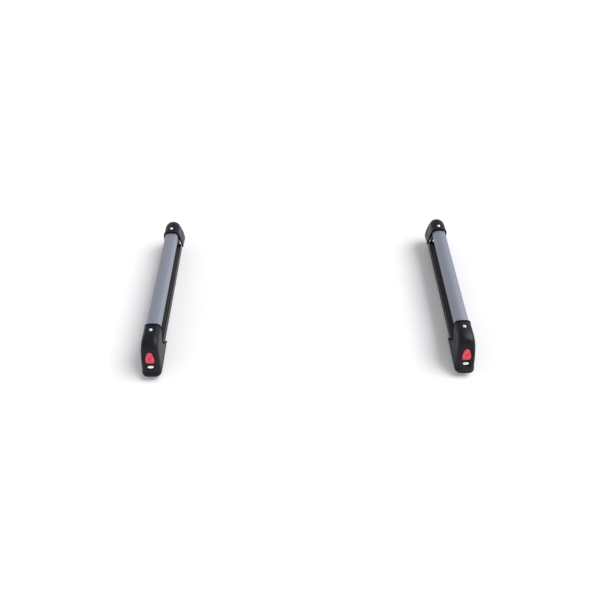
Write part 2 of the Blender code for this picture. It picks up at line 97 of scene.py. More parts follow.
# How near two points are one, when a shape is made, read from the CAD, and freed of slivers
MERGE_NEW, MERGE_CAD, MERGE_SLIVER = 1e-7, 2e-6, 4e-6


# ---- materials ----


class Graph:
    """Short calls for building a node material."""

    def __init__(self, name):
        self.mat = bpy.data.materials.new(name)
        self.mat.use_nodes = True
        self.tree = self.mat.node_tree
        self.shader = self.tree.nodes["Principled BSDF"]
        self.coord = self.tree.nodes.new("ShaderNodeTexCoord").outputs["Object"]

    def feed(self, socket, value):
        """Links the socket to another one, or gives it a plain value."""
        if isinstance(value, bpy.types.NodeSocket):
            self.tree.links.new(value, socket)
        else:
            socket.default_value = value

    def node(self, kind, settings=None, **sockets):
        made = self.tree.nodes.new(kind)
        for key, value in (settings or {}).items():
            setattr(made, key, value)
        for key, value in sockets.items():
            self.feed(made.inputs[key.replace("_", " ")], value)
        return made

    def noise(self, scale, stretch=(1, 1, 1), detail=3.0):
        place = self.node("ShaderNodeMapping", Vector=self.coord, Scale=stretch)
        made = self.node("ShaderNodeTexNoise", Vector=place.outputs[0], Scale=scale,
                         Detail=detail, Roughness=0.55)
        return made.outputs["Fac"]

    def spread(self, value, low, high, start=0.3, end=0.7):
        """The value's range from start to end, stretched to go from low to high."""
        made = self.node("ShaderNodeMapRange", Value=value)
        made.inputs["From Min"].default_value = start
        made.inputs["From Max"].default_value = end
        made.inputs["To Min"].default_value = low
        made.inputs["To Max"].default_value = high
        return made.outputs["Result"]

    def math(self, operation, a, b):
        made = self.node("ShaderNodeMath", {"operation": operation})
        for socket, value in zip(made.inputs, (a, b)):
            self.feed(socket, value)
        return made.outputs[0]

    def blend(self, amount, a, b):
        made = self.node("ShaderNodeMix", {"data_type": "RGBA"})
        for index, value in ((0, amount), (6, a), (7, b)):
            self.feed(made.inputs[index], value)
        return made.outputs[2]

    def bump(self, height, strength, distance, normal=None):
        made = self.node("ShaderNodeBump", Height=height, Strength=strength, Distance=distance)
        if normal is not None:
            self.tree.links.new(normal, made.inputs["Normal"])
        return made.outputs[0]

    def edges(self, start, end):
        """1 on convex edges, where wear and painted edge highlights go, and 0 elsewhere."""
        sharp = self.node("ShaderNodeNewGeometry").outputs["Pointiness"]
        return self.spread(sharp, 0.0, 1.0, start, end)

    def set(self, **sockets):
        """Feeds the shader, and gives the finished material."""
        for key, value in sockets.items():
            self.feed(self.shader.inputs[key.replace("_", " ")], value)
        return self.mat


def shade(color, factor=1.0):
    return tuple(min(1.0, c * factor) for c in color) + (1.0,)


def coated_bar(name, color, metallic, rough):
    """Satin powder coat on an extruded bar: faint drawing lines along it, slightly paler edges."""
    g = Graph(name)
    lines = g.noise(900, (1, 0.012, 1), 2.0)
    cloud = g.noise(26, (1, 0.35, 1), 4.0)
    speck = g.noise(2600, detail=1.0)
    base = g.blend(g.spread(cloud, 0.0, 1.0), shade(color, 0.985), shade(color, 1.02))
    base = g.blend(g.spread(lines, 0.0, 0.30), base, shade(color, 0.84))
    wear = g.math("MULTIPLY", g.edges(0.56, 0.68), g.spread(g.noise(180), 0.0, 0.25))
    base = g.blend(wear, base, shade(color, 1.5))
    tone = g.spread(g.math("ADD", lines, cloud), rough - 0.02, rough + 0.03, 0.7, 1.3)
    bump = g.bump(lines, 0.06, 0.0002)
    bump = g.bump(speck, 0.08, 0.00008, bump)
    return g.set(Base_Color=base, Metallic=metallic, Roughness=tone, Normal=bump,
                 Specular_IOR_Level=0.4)


def moulded_plastic(name, color, rough):
    """Fine spark-eroded grain, slight clouding and paler rubbed edges."""
    g = Graph(name)
    grain = g.node("ShaderNodeTexVoronoi", {"feature": "F1"}, Scale=1250.0, Vector=g.coord)
    cloud = g.noise(34, detail=5.0)
    fine = g.noise(700, detail=2.0)
    base = g.blend(g.spread(cloud, 0.0, 1.0), shade(color, 0.82), shade(color, 1.25))
    pale_edges = g.math("MULTIPLY", g.edges(0.56, 0.68), g.spread(g.noise(90), 0.0, 0.4))
    base = g.blend(pale_edges, base, shade((0.05, 0.05, 0.06)))
    tone = g.spread(g.math("ADD", fine, cloud), rough - 0.07, rough + 0.09, 0.7, 1.3)
    bump = g.bump(grain.outputs["Distance"], 0.22, 0.00025)
    bump = g.bump(fine, 0.10, 0.0002, bump)
    return g.set(Base_Color=base, Roughness=tone, Normal=bump, Specular_IOR_Level=0.2)


def matt_edge(name, color):
    """Near-black moulding with fine grain and slight clouding, made darker and duller than the
    covers: painted shade for the shadow line round the covers' mouths.
    """
    g = Graph(name)
    cloud = g.noise(60, detail=4.0)
    fine = g.noise(1300, detail=2.0)
    base = g.blend(g.spread(cloud, 0.0, 1.0), shade(color, 0.7), shade(color, 1.4))
    bump = g.bump(fine, 0.3, 0.00015)
    return g.set(Base_Color=base, Roughness=g.spread(fine, 0.55, 0.8), Normal=bump,
                 Specular_IOR_Level=0.06)


def rubber(name, color):
    """Matt rubber with fine grain, slight clouding and a little dust."""
    g = Graph(name)
    cloud = g.noise(48, (1, 0.3, 1), 5.0)
    fine = g.noise(1500, detail=3.0)
    dust = g.math("MULTIPLY", g.spread(g.noise(260, detail=6.0), 0.0, 1.0, 0.52, 0.72),
                  g.spread(cloud, 0.0, 0.5))
    base = g.blend(g.spread(cloud, 0.0, 1.0), shade(color, 0.75), shade(color, 1.3))
    base = g.blend(dust, base, shade((0.05, 0.05, 0.055)))
    bump = g.bump(fine, 0.35, 0.0002)
    return g.set(Base_Color=base, Roughness=g.spread(fine, 0.62, 0.85), Normal=bump,
                 Sheen_Weight=0.04, Sheen_Roughness=0.5, Specular_IOR_Level=0.3)


def gloss_plastic(name, color):
    """Moulded coloured plastic with faint flow marks, and pinker convex edges: partly thumb wear,
    partly a painted highlight along the rims.
    """
    g = Graph(name)
    cloud = g.noise(120, detail=4.0)
    fine = g.noise(1400, detail=2.0)
    base = g.blend(g.spread(cloud, 0.0, 1.0), shade(color, 0.88), shade(color, 1.08))
    # Pinker convex edges: partly wear, partly a painted highlight along the rims
    pale_edges = g.math("MULTIPLY", g.edges(0.53, 0.62), 0.35)
    base = g.blend(pale_edges, base, (0.85, 0.32, 0.33, 1.0))
    bump = g.bump(fine, 0.14, 0.00015)
    return g.set(Base_Color=base, Roughness=g.spread(cloud, 0.26, 0.40), Normal=bump,
                 Coat_Weight=0.15, Coat_Roughness=0.2)


def bare_metal(name, color, rough, dull):
    """Plated or polished metal with fine scratches and duller patches."""
    g = Graph(name)
    scratch = g.noise(2200, detail=2.0)
    cloud = g.noise(150, detail=5.0)
    base = g.blend(g.spread(cloud, 0.0, dull), shade(color), shade(color, 0.62))
    tone = g.spread(g.math("ADD", scratch, cloud), rough * 0.7, rough * 1.6, 0.7, 1.3)
    bump = g.bump(scratch, 0.08, 0.0001)
    return g.set(Base_Color=base, Metallic=1.0, Roughness=tone, Normal=bump)


# ---- mesh helpers ----


def open_mesh(obj):
    """The object's mesh, ready for edits."""
    bm = bmesh.new()
    bm.from_mesh(obj.data)
    return bm


def close_mesh(bm, obj):
    bm.to_mesh(obj.data)
    bm.free()


def add_mesh(name, verts, faces, smooth=True):
    """A new object with its doubled points merged and its faces turned outwards."""
    mesh = bpy.data.meshes.new(name)
    mesh.from_pydata([tuple(v) for v in verts], [], faces)
    obj = bpy.data.objects.new(name, mesh)
    bpy.context.scene.collection.objects.link(obj)
    bm = open_mesh(obj)
    bmesh.ops.remove_doubles(bm, verts=bm.verts, dist=MERGE_NEW)
    bmesh.ops.recalc_face_normals(bm, faces=bm.faces)
    close_mesh(bm, obj)
    for face in mesh.polygons:
        face.use_smooth = smooth
    return obj


def settle(obj):
    """Applies the object's modifiers to its mesh."""
    graph = bpy.context.evaluated_depsgraph_get()
    graph.update()
    mesh = bpy.data.meshes.new_from_object(obj.evaluated_get(graph))
    old = obj.data
    obj.modifiers.clear()
    obj.data = mesh
    bpy.data.meshes.remove(old)


def modify(obj, kind, **settings):
    """Adds one modifier to the object and applies it."""
    made = obj.modifiers.new(kind.lower(), kind)
    for key, value in settings.items():
        setattr(made, key, value)
    settle(obj)


def soften(obj, width, angle):
    """Rounds the edges that are sharper than the angle, in degrees."""
    modify(obj, "BEVEL", width=width, segments=2, limit_method="ANGLE",
           angle_limit=math.radians(angle), harden_normals=True)


def cut(obj, tool, operation="DIFFERENCE"):
    """Cuts the tool away from the object, or joins it, and removes the tool."""
    modify(obj, "BOOLEAN", operation=operation, solver="EXACT", object=tool)
    mesh = tool.data
    bpy.data.objects.remove(tool)
    bpy.data.meshes.remove(mesh)


def smooth_by_angle(obj, angle):
    """Shades the object smooth, but for the edges that are sharper than the angle."""
    for face in obj.data.polygons:
        face.use_smooth = True
    obj.data.set_sharp_from_angle(angle=math.radians(angle))


def weigh_normals(obj):
    """Lets large faces set the shading, so that flat areas stay flat beside rounded edges."""
    modify(obj, "WEIGHTED_NORMAL", keep_sharp=True, weight=80)


def clean(obj):
    """Removes slivers that the cuts and bevels left."""
    bm = open_mesh(obj)
    bmesh.ops.dissolve_degenerate(bm, dist=MERGE_SLIVER, edges=bm.edges)
    bmesh.ops.remove_doubles(bm, verts=bm.verts, dist=MERGE_SLIVER)
    close_mesh(bm, obj)


def split_flats(obj):
    """Splits the housing's broad flat areas, so that the shading at their rims stays local."""
    bm = open_mesh(obj)
    up = slope_frame().col[1].xyz
    apart = 4
    planes = [((x * MM, 0, 0), (1, 0, 0)) for x in range(-20, 21, apart)]
    planes += [(SLOPE_FOOT + up * (u * MM), up) for u in range(5, 78, apart)]
    for point, normal in planes:
        bmesh.ops.bisect_plane(bm, geom=bm.verts[:] + bm.edges[:] + bm.faces[:], dist=1e-6,
                               plane_co=point, plane_no=normal)
    close_mesh(bm, obj)


def loft(name, stack, caps=True):
    """A surface through rings of equal length, each closed."""
    n = len(stack[0])
    verts = [p for ring in stack for p in ring]
    faces = []
    for k in range(len(stack) - 1):
        a, b = k * n, (k + 1) * n
        faces += [(a + i, a + (i + 1) % n, b + (i + 1) % n, b + i) for i in range(n)]
    if caps:
        faces += [list(range(n)), [len(verts) - n + i for i in range(n)]]
    return add_mesh(name, verts, faces)


def mirrored(half):
    """The whole outline, from its right half."""
    return list(half) + [(-x, z) for x, z in reversed(half) if x > MERGE_NEW]


def rounded(outline, radius, steps=3):
    """The closed outline with each corner turned into a small arc."""
    made = []
    for i, point in enumerate(outline):
        p = Vector(point)
        before, after = Vector(outline[i - 1]) - p, Vector(outline[(i + 1) % len(outline)]) - p
        reach = min(radius, 0.45 * before.length, 0.45 * after.length)
        a, b = p + before.normalized() * reach, p + after.normalized() * reach
        if abs(before.normalized().dot(after.normalized()) + 1) < 0.02:
            made.append(tuple(p))
            continue
        for k in range(steps + 1):
            t = k / steps
            made.append(tuple((1 - t) ** 2 * a + 2 * t * (1 - t) * p + t ** 2 * b))
    return made


def rounded_half(points, radius):
    """Eases the inner corners of an open half outline."""
    made = [points[0]]
    for i in range(1, len(points) - 1):
        p = Vector(points[i])
        before, after = Vector(points[i - 1]) - p, Vector(points[i + 1]) - p
        reach = min(radius, 0.4 * before.length, 0.4 * after.length)
        a, b = p + before.normalized() * reach, p + after.normalized() * reach
        made += [tuple(a), tuple((a + b + 2 * p) / 4), tuple(b)]
    made.append(points[-1])
    return made


def bar(name, outline, y0, y1):
    """An extruded bar with slightly eased ends."""
    cx = sum(p[0] for p in outline) / len(outline)
    cz = sum(p[1] for p in outline) / len(outline)

    def ring(y, shrink):
        made = []
        for x, z in outline:
            d = Vector((x - cx, z - cz))
            d = d * (1 - shrink / max(d.length, 1e-6))
            made.append((cx + d.x, y, cz + d.y))
        return made

    return loft(name, [ring(y0, BAR_CHAMFER), ring(y0 + BAR_CHAMFER, 0),
                       ring(y1 - BAR_CHAMFER, 0), ring(y1, BAR_CHAMFER)])


def turned(name, profile, steps):
    """A solid of revolution about Z from (radius, height) points."""
    stack = []
    for r, z in profile:
        turn = [2 * math.pi * i / steps for i in range(steps)]
        stack.append([(r * math.cos(a), r * math.sin(a), z) for a in turn])
    return loft(name, stack)


def box(name, x, y, z):
    """A box from the two ends of each side."""
    verts = [(a, b, c) for c in z for b in y for a in x]
    faces = [(0, 1, 3, 2), (4, 6, 7, 5), (0, 4, 5, 1), (2, 3, 7, 6), (0, 2, 6, 4), (1, 5, 7, 3)]
    return add_mesh(name, verts, faces, smooth=False)


def slope_frame():
    """Turns places on the slope (across, up, out) into places in the scene."""
    c, s = math.cos(SLOPE_TILT), math.sin(SLOPE_TILT)
    turn = Matrix(((1, 0, 0, 0), (0, c, -s, 0), (0, s, c, 0), (0, 0, 0, 1)))
    return Matrix.Translation(SLOPE_FOOT) @ turn


def on_slope(obj):
    """Moves a piece made flat at the origin onto the slope."""
    obj.data.transform(slope_frame())
    return obj


def ease(t):
    """0 up to t = 0, 1 from t = 1, and smooth between."""
    t = min(1.0, max(0.0, t))
    return t * t * (3 - 2 * t)


# ---- bars and rubbers ----


def dome_half():
    """Upper bar, right half of the outside: flat side, crease, and shallow crown."""
    top, bottom = UPPER_TOP, UPPER_BOTTOM
    flat, turn_in, turn_up = 10.0, 6.5, 9.3
    points = [(BAR_HALF * MM, bottom), (BAR_HALF * MM, bottom + flat * MM)]
    for i in range(1, 10):
        a = math.radians(90 * i / 10)
        points.append(((BAR_HALF - turn_in * (1 - math.cos(a))) * MM,
                       bottom + (flat + turn_up * math.sin(a)) * MM))
    points += [(x * MM, top - drop * MM) for x, drop in ((14.4, 2.35), (13.7, 2.30))]
    crown_half, crown_drop = 13.2, 2.05 * MM
    for x in (11.0, 8.5, 6.0, 3.0, 0.0):
        points.append((x * MM, top - crown_drop * (x / crown_half) ** 2))
    return points


def upper_profile():
    """The grey bar, with the rubber's groove below and one chamber along its inside."""
    groove = [(x * MM, UPPER_BOTTOM + z * MM) for x, z in
              ((0, 7), (11, 7), (11, 2), (7, 2), (7, 0))]
    half = rounded_half(groove, 0.4 * MM) + dome_half()
    obj = bar("upper_profile", mirrored(half), *UPPER_Y)
    chamber = [(18.0, 9.5), (18.6, 12.5), (14.0, 17.2), (7.0, 18.8)]
    outline = mirrored([(x * MM, UPPER_BOTTOM + z * MM) for x, z in chamber])
    cut(obj, bar("tool", outline, UPPER_Y[0] - 0.01, UPPER_Y[1] + 0.01))
    smooth_by_angle(obj, 28)
    return obj


def upper_pad():
    return pad("upper_pad", GAP_TOP, UPPER_BOTTOM - PAD_GAP, UPPER_BOTTOM + PAD_ROOT)


def lower_pad():
    return pad("lower_pad", GAP_BOTTOM, LOWER_TOP + PAD_GAP, LOWER_TOP - PAD_ROOT)


def pad(name, face, back, root):
    """Ridged rubber strip with a T root."""
    up = 1.0 if root > face else -1.0
    strip_half, neck_half, root_half, neck_tall = 17.0, 6.7, 10.7, 2.6
    ridges = [(0.0, 0.7), (2.2, 0.1), (4.6, 0.1), (6.6, 2.2), (7.4, 2.2), (9.2, 0.15),
              (11.6, 0.15), (13.2, 1.9), (13.9, 2.0), (15.4, 1.2), (strip_half, 3.8)]
    half = [(x * MM, face + up * z * MM) for x, z in ridges]
    half += [(strip_half * MM, back), (neck_half * MM, back),
             (neck_half * MM, back + up * neck_tall * MM),
             (root_half * MM, back + up * neck_tall * MM), (root_half * MM, root), (0.0, root)]
    obj = bar(name, rounded(mirrored(half), 0.7 * MM), *PAD_Y)
    smooth_by_angle(obj, 40)
    return obj


def lower_profile():
    """The dark bar, with a channel below, the rubber's groove above and a chamber at each side."""
    z0 = LOWER_BOTTOM
    channel = [(0, 9), (8.5, 9), (8.5, 2.5), (4, 2.5), (4, 0)]
    flank = [(20, 0), (21, 1), (21, 6.2), (20.5, 6.7), (20.5, 8.2), (21, 8.7), (21, 21), (20, 22)]
    groove = [(7, 22), (7, 20), (11, 20), (11, 15), (0, 15)]
    half = [(x * MM, z0 + z * MM) for x, z in channel + flank + groove]
    obj = bar("lower_profile", mirrored(rounded_half(half, 0.5 * MM)), *LOWER_Y)
    chamber_x, chamber_z = (12.8, 19.2), (z0 + 2 * MM, z0 + 20 * MM)
    for side in (1, -1):
        x = sorted(side * edge * MM for edge in chamber_x)
        cut(obj, box("tool", x, (LOWER_Y[0] - 0.01, LOWER_Y[1] + 0.01), chamber_z))
    smooth_by_angle(obj, 28)
    return obj


# ---- covers ----

# Each level of a cover: z, y of the closed end, half width, half width at the mouth, corner
# across and corner along. All are in mm but the y, which is in m.
HOUSING_LEVELS = (
    (16.0, -0.2916, 28.0, 27.0, 17.0, 16.5),
    (17.2, -0.2923, 28.9, 27.5, 17.0, 16.5),
    (20.0, -0.2924, 29.2, 27.8, 16.5, 16.5),
    (25.0, -0.2890, 29.2, 27.9, 15.0, 15.5),
    (25.9, -0.2881, 29.1, 27.8, 14.5, 15.0),
    (26.3, -0.2852, 28.0, 27.4, 14.0, 15.0),
    (27.4, -0.2846, 28.0, 27.4, 14.0, 15.0),
    (28.6, -0.2845, 28.4, 27.6, 14.0, 15.0),
    (37.0, -0.2790, 28.4, 27.6, 12.0, 14.0),
    (44.0, -0.2744, 28.2, 27.4, 11.0, 13.0),
    (51.0, -0.2699, 27.9, 27.2, 10.0, 12.0),
    (58.0, -0.2653, 27.5, 26.9, 9.5, 11.5),
    (65.0, -0.2608, 27.1, 26.6, 9.5, 11.5),
    (72.0, -0.2562, 26.7, 26.2, 9.5, 11.5),
    (79.0, -0.2517, 26.2, 25.8, 10.0, 12.0),
    (86.0, -0.2469, 25.6, 25.3, 11.5, 13.5),
    (92.5, -0.2415, 24.9, 24.7, 14.0, 16.0),
    (98.0, -0.2350, 23.6, 23.3, 16.0, 18.0),
    (102.2, -0.2265, 20.4, 20.0, 16.0, 18.0),
    (104.7, -0.2170, 15.4, 15.0, 12.5, 15.0),
    (105.9, -0.2060, 9.0, 8.7, 7.4, 9.0),
    (106.2, -0.1975, 3.0, 2.9, 2.4, 4.0),
)

HOOD_LEVELS = (
    (35.0, 0.2856, 32.2, 30.2, 19.0, 15.0),
    (36.0, 0.2862, 32.5, 30.2, 19.0, 15.0),
    (42.0, 0.2873, 32.2, 30.1, 18.5, 15.0),
    (51.0, 0.2890, 31.4, 29.8, 18.0, 15.5),
    (61.0, 0.2906, 29.9, 29.2, 17.5, 16.5),
    (72.0, 0.2919, 27.9, 28.2, 17.5, 18.5),
    (83.0, 0.2925, 26.0, 27.0, 19.5, 21.5),
    (91.0, 0.2920, 24.9, 26.0, 20.5, 25.0),
    (97.0, 0.2898, 24.0, 24.6, 20.5, 27.0),
    (101.4, 0.2862, 20.4, 20.9, 18.0, 28.0),
    (104.3, 0.2816, 14.8, 15.2, 13.0, 27.0),
    (105.7, 0.2760, 8.6, 8.9, 7.6, 25.0),
    (106.2, 0.2700, 3.0, 3.2, 2.6, 20.0),
)


def cover_ring(z, mouth_y, end_y, mouth_half, half, rx, ry, lip):
    """Right half of one level, from the mouth to the middle of the far end."""
    way = 1.0 if end_y > mouth_y else -1.0
    corner_y = end_y - way * ry
    span = abs(corner_y - mouth_y)
    points = []
    lip_steps = ((0.0, 0.8), (0.6, 1.0), (2.4, 1.0), (3.2, 0.3), (4.2, 0.0), (9.0, 0.0))
    for step, out in lip_steps:
        t = min(step * MM / span, 0.6)
        points.append((mouth_half + (half - mouth_half) * t + out * lip, mouth_y + way * span * t))
    points.append((half, mouth_y + way * 0.82 * span))
    for i in range(6):
        a = 0.5 * math.pi * i / 5
        points.append((half - rx + rx * math.cos(a), corner_y + way * ry * math.sin(a)))
    for t in (0.8, 0.6, 0.4, 0.2, 0.0):
        points.append(((half - rx) * t, end_y))
    return [(x, y, z) for x, y in points]


def notched_mouth(z):
    """The housing's mouth, set back between the bars so that a ski can lie close to the lock."""
    return MOUTH_FRONT_Y - NOTCH_DEPTH * math.exp(-(((z * MM - NOTCH_Z) / NOTCH_SPREAD) ** 2))


def cover_sheet(name, levels, mouth_at, lip):
    """Open sheet: a grid of levels whose top closes across the middle."""
    verts, rows = [], []
    for z, end_y, half, mouth, rx, ry in levels:
        proud = lip * MM * min(1.0, half / 20.0)
        right = cover_ring(z * MM, mouth_at(z), end_y, mouth * MM, half * MM, rx * MM, ry * MM,
                           proud)
        row = right + [(-x, y, q) for x, y, q in reversed(right[:-1])]
        rows.append([len(verts) + i for i in range(len(row))])
        verts += row
    faces = []
    n = len(rows[0])
    for low, high in zip(rows, rows[1:]):
        faces += [(low[i], low[i + 1], high[i + 1], high[i]) for i in range(n - 1)]
    top = rows[-1]
    for i in range(n // 2 - 1):
        faces.append((top[i], top[i + 1], top[n - 2 - i], top[n - 1 - i]))
    faces.append((top[n // 2 - 1], top[n // 2], top[n // 2 + 1]))
    obj = add_mesh(name, verts, faces)
    modify(obj, "SUBSURF", levels=2, render_levels=2, boundary_smooth="PRESERVE_CORNERS")
    return obj


def cap_sheet(obj):
    """Closes the sheet below and across its mouth. Returns the points round the mouth."""
    near = 1e-5
    bm = open_mesh(obj)
    loop, last = [next(e for e in bm.edges if e.is_boundary).verts[0]], None
    while True:
        last = next(e for e in loop[-1].link_edges if e.is_boundary and e is not last)
        other = last.other_vert(loop[-1])
        if other is loop[0]:
            break
        loop.append(other)
    low = min(v.co.z for v in loop)
    foot = [v for v in loop if v.co.z < low + near]
    mouth = min(abs(v.co.y) for v in foot)
    corners = sorted((v for v in foot if abs(abs(v.co.y) - mouth) < near), key=lambda v: v.co.x)
    a, b = sorted((loop.index(corners[0]), loop.index(corners[-1])))
    one, two = loop[a:b + 1], loop[b:] + loop[:a + 1]
    round_mouth, round_foot = sorted((one, two), key=lambda chain: -max(v.co.z for v in chain))
    bm.faces.new(round_foot)
    n = len(round_mouth)
    for i in range((n - 1) // 2):
        ring = (round_mouth[i], round_mouth[i + 1], round_mouth[n - 2 - i], round_mouth[n - 1 - i])
        bm.faces.new(list(dict.fromkeys(ring)))
    points = [v.co.copy() for v in round_mouth]
    bmesh.ops.recalc_face_normals(bm, faces=bm.faces)
    close_mesh(bm, obj)
    return points


def inner_levels(levels, end_wall, way):
    """The levels moved in by the wall and down by the roof, for the hollow of a cover."""
    roof, thicken_from, thick_from, least, top = 2.7, 80.0, 95.0, 2.0, 105.0
    wall, made = COVER_WALL, []
    for z, end_y, half, mouth, rx, ry in levels:
        if z > top:
            continue
        part = max(0.0, (z - thicken_from) / (thick_from - thicken_from))
        level = z - (roof if z > thick_from else roof * part)
        corner = max(rx - 0.5 * wall, least)
        made.append((level, end_y - way * end_wall * MM, half - wall, mouth - wall,
                     min(corner, 0.9 * (half - wall)), max(ry - 0.5 * wall, least)))
    low = made[0]
    return [(low[0] - 8.0,) + low[1:], (low[0] - 1.0,) + low[1:]] + made[2:]


def cover(name, levels, mouth_at, end_wall, lip):
    """Thin-walled cover, open at its mouth and underneath, and the points round its mouth."""
    way = 1.0 if levels[0][1] > 0 else -1.0
    obj = cover_sheet(name, levels, mouth_at, lip)
    mouth = cap_sheet(obj)
    above_notch, past_mouth = 200.0, 3 * MM
    hollow = cover_sheet("tool", inner_levels(levels, end_wall, way),
                         lambda z: mouth_at(above_notch) - way * past_mouth, 0.0)
    cap_sheet(hollow)
    cut(obj, hollow)
    return obj, mouth


def edge_bead(name, path, way, wide_low, wide_high, proud):
    """Bead round a mouth: it covers the rim and stands a little proud of the wall."""
    middle_z, widen_from, widen_over = 0.060, 82.0, 14.0
    stack = []
    for i, p in enumerate(path):
        along = path[min(i + 1, len(path) - 1)] - path[max(i - 1, 0)]
        out = Vector((along.z, 0, -along.x)).normalized()
        if out.dot(Vector((p.x, 0, p.z - middle_z))) < 0:
            out.negate()
        wide = wide_low + (wide_high - wide_low) * ease((p.z / MM - widen_from) / widen_over)
        # Each point: how far out of the wall, and how far ahead of the rim
        section = ((proud - 0.25, -3.9), (proud, -3.5), (proud, 0.5), (proud - 0.25, 0.95),
                   (proud - 0.9, 1.15), (-0.5 * wide, 0.75), (0.9 - wide, 1.05),
                   (0.25 - wide, 0.8), (-wide, 0.4), (-wide, -3.9))
        ring = [p + out * (a * MM) + Vector((0, -way * b * MM, 0)) for a, b in section]
        stack.append(ring)
    return loft(name, stack)


def rivet_seat(obj, y):
    """Shallow round recess for a rivet in the top of a cover."""
    steps = ((5.8, -1.9), (7.2, -1.75), (7.6, -1.1), (8.0, -0.6), (8.8, -0.1), (10.6, 0.9))
    seat = turned("tool", [(r * MM, COVER_TOP + h * MM) for r, h in steps], 56)
    seat.data.transform(Matrix.Translation((0, y, 0)))
    cut(obj, seat)


def button_outline(grow=0.0):
    """Rounded triangle with bulging sides, apex up the slope."""
    foot, top = BUTTON_FOOT, BUTTON_FOOT + BUTTON_TALL
    corner, tip, steps = 6.0 * MM, 9.0 * MM, 10
    wide = BUTTON_HALF - corner
    side_x, side_y = 12.7 * MM + grow, foot + 14.5 * MM
    # Each arc: its centre, its radius, and its first and last angle in degrees
    arcs = ((wide, foot + corner, corner, 262, 372), (0.0, top - tip, tip, 18, 162),
            (-wide, foot + corner, corner, 168, 278))
    parts = []
    for cx, cy, r, start, stop in arcs:
        part = []
        for i in range(steps + 1):
            a = math.radians(start + (stop - start) * i / steps)
            part.append((cx + (r + grow) * math.cos(a), cy + (r + grow) * math.sin(a)))
        parts.append(part)
    return parts[0] + [(side_x, side_y)] + parts[1] + [(-side_x, side_y)] + parts[2]


def even(outline, count):
    """The closed outline resampled smoothly at equal steps."""
    points = [Vector(p) for p in outline]
    lengths = [0.0]
    for i, p in enumerate(points):
        lengths.append(lengths[-1] + (points[(i + 1) % len(points)] - p).length)
    made, k = [], 0
    for i in range(count):
        want = lengths[-1] * i / count
        while lengths[k + 1] < want:
            k += 1
        t = (want - lengths[k]) / (lengths[k + 1] - lengths[k])
        made.append(points[k].lerp(points[(k + 1) % len(points)], t))
    return [tuple((made[i - 1] + 2 * made[i] + made[(i + 1) % count]) / 4) for i in range(count)]


def oval(rx, ry, up, height, steps=48, egg=0.0):
    """A closed ring on the slope; egg makes it narrower at its upper end."""
    ring = []
    for i in range(steps):
        a = 2 * math.pi * i / steps
        ring.append(((rx - egg * math.sin(a)) * math.cos(a), up + ry * math.sin(a), height))
    return ring


def add_shelf(obj):
    """Inside the housing: the spring's shelf, and the two cheeks that hold the pawl's pin."""
    shelf = ((-26.4, 26.4), (34.6, 48.0), (-16.3, -14.6))
    cheek_up, cheek_out = (23.8, 38.0), (-21.5, -13.2)
    stem_hole = ((-3.9, 3.9), (38.6, 43.4), (-20.0, -12.0))
    blocks = ((shelf, "UNION"), (((7.5, 10.5), cheek_up, cheek_out), "UNION"),
              (((-10.5, -7.5), cheek_up, cheek_out), "UNION"), (stem_hole, "DIFFERENCE"))
    for sides, operation in blocks:
        cut(obj, on_slope(box("tool", *[[v * MM for v in side] for side in sides])), operation)
    low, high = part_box("left_pawl_pin")
    play, reach = 0.12 * MM, 12 * MM
    radius = (high.z - low.z) / 2 + play
    hole = turned("tool", [(radius, -reach), (radius, reach)], 32)
    hole.data.transform(Matrix.Rotation(math.radians(90), 4, "Y"))
    hole.data.transform(Matrix.Translation((0, (low.y + high.y) / 2, (low.z + high.z) / 2)))
    cut(obj, hole)


def cut_slope(obj):
    """Cuts the dish round the button, the lock's seat, and the holes of button and barrel."""
    dish_up, dish_tall, dish_half, egg = 49.6 * MM, 25.0 * MM, 19.0 * MM, 2.5 * MM
    seat_half, seat_tall, window_gap, barrel_half = 14.4, 8.0, 0.45 * MM, 6.9 * MM
    # Each ring of a recess: how much it is grown, and its height
    dish_rings = ((-1.6, -2.8), (-0.7, -2.55), (-0.2, -2.0), (0.0, -1.2), (0.35, -0.6), (3.0, 0.9))
    seat_rings = ((-1.6, -3.3), (-0.7, -3.05), (-0.2, -2.5), (0.0, -1.3), (0.35, -0.6), (3.0, 0.9))
    # Each ring of the hole: its half height up the slope, and its height out of it
    hole_rings = ((6.9, -12), (6.9, -4.3), (3.7, -4.2), (3.7, 3))
    window = even(button_outline(window_gap), 72)
    for stack in (
        [oval(dish_half + r * MM, dish_tall + r * MM, dish_up, h * MM, 72, egg)
         for r, h in dish_rings],
        [oval((seat_half + r) * MM, (seat_tall + r) * MM, LOCK_UP, h * MM, 64)
         for r, h in seat_rings],
        [[(x, y, h) for x, y in window] for h in (-9.5 * MM, 3 * MM)],
        [oval(barrel_half, tall * MM, LOCK_UP, h * MM) for tall, h in hole_rings],
    ):
        cut(obj, on_slope(loft("tool", stack)))


def lock_housing():
    """The front cover, and the bead round its mouth."""
    obj, mouth = cover("lock_housing", HOUSING_LEVELS, notched_mouth, 5.5, 0.3)
    add_shelf(obj)
    rivet_seat(obj, FRONT_RIVET_Y)
    cut_slope(obj)
    clean(obj)
    soften(obj, 0.35 * MM, COVER_BEVEL_ANGLE)
    split_flats(obj)
    clean(obj)
    smooth_by_angle(obj, COVER_SMOOTH_ANGLE)
    weigh_normals(obj)
    return obj, edge_bead("housing_edge", mouth, -1.0, 3.0, 2.8, 0.3)


def rear_hood():
    """The rear cover, and the bead round its mouth."""
    obj, mouth = cover("rear_hood", HOOD_LEVELS, lambda z: MOUTH_REAR_Y, 3.0, 0.4)
    rivet_seat(obj, REAR_RIVET_Y)
    clean(obj)
    soften(obj, 0.4 * MM, COVER_BEVEL_ANGLE)
    clean(obj)
    smooth_by_angle(obj, COVER_SMOOTH_ANGLE)
    weigh_normals(obj)
    return obj, edge_bead("hood_edge", mouth, 1.0, 4.4, 3.2, 0.5)


# ---- button, lock and rivets ----


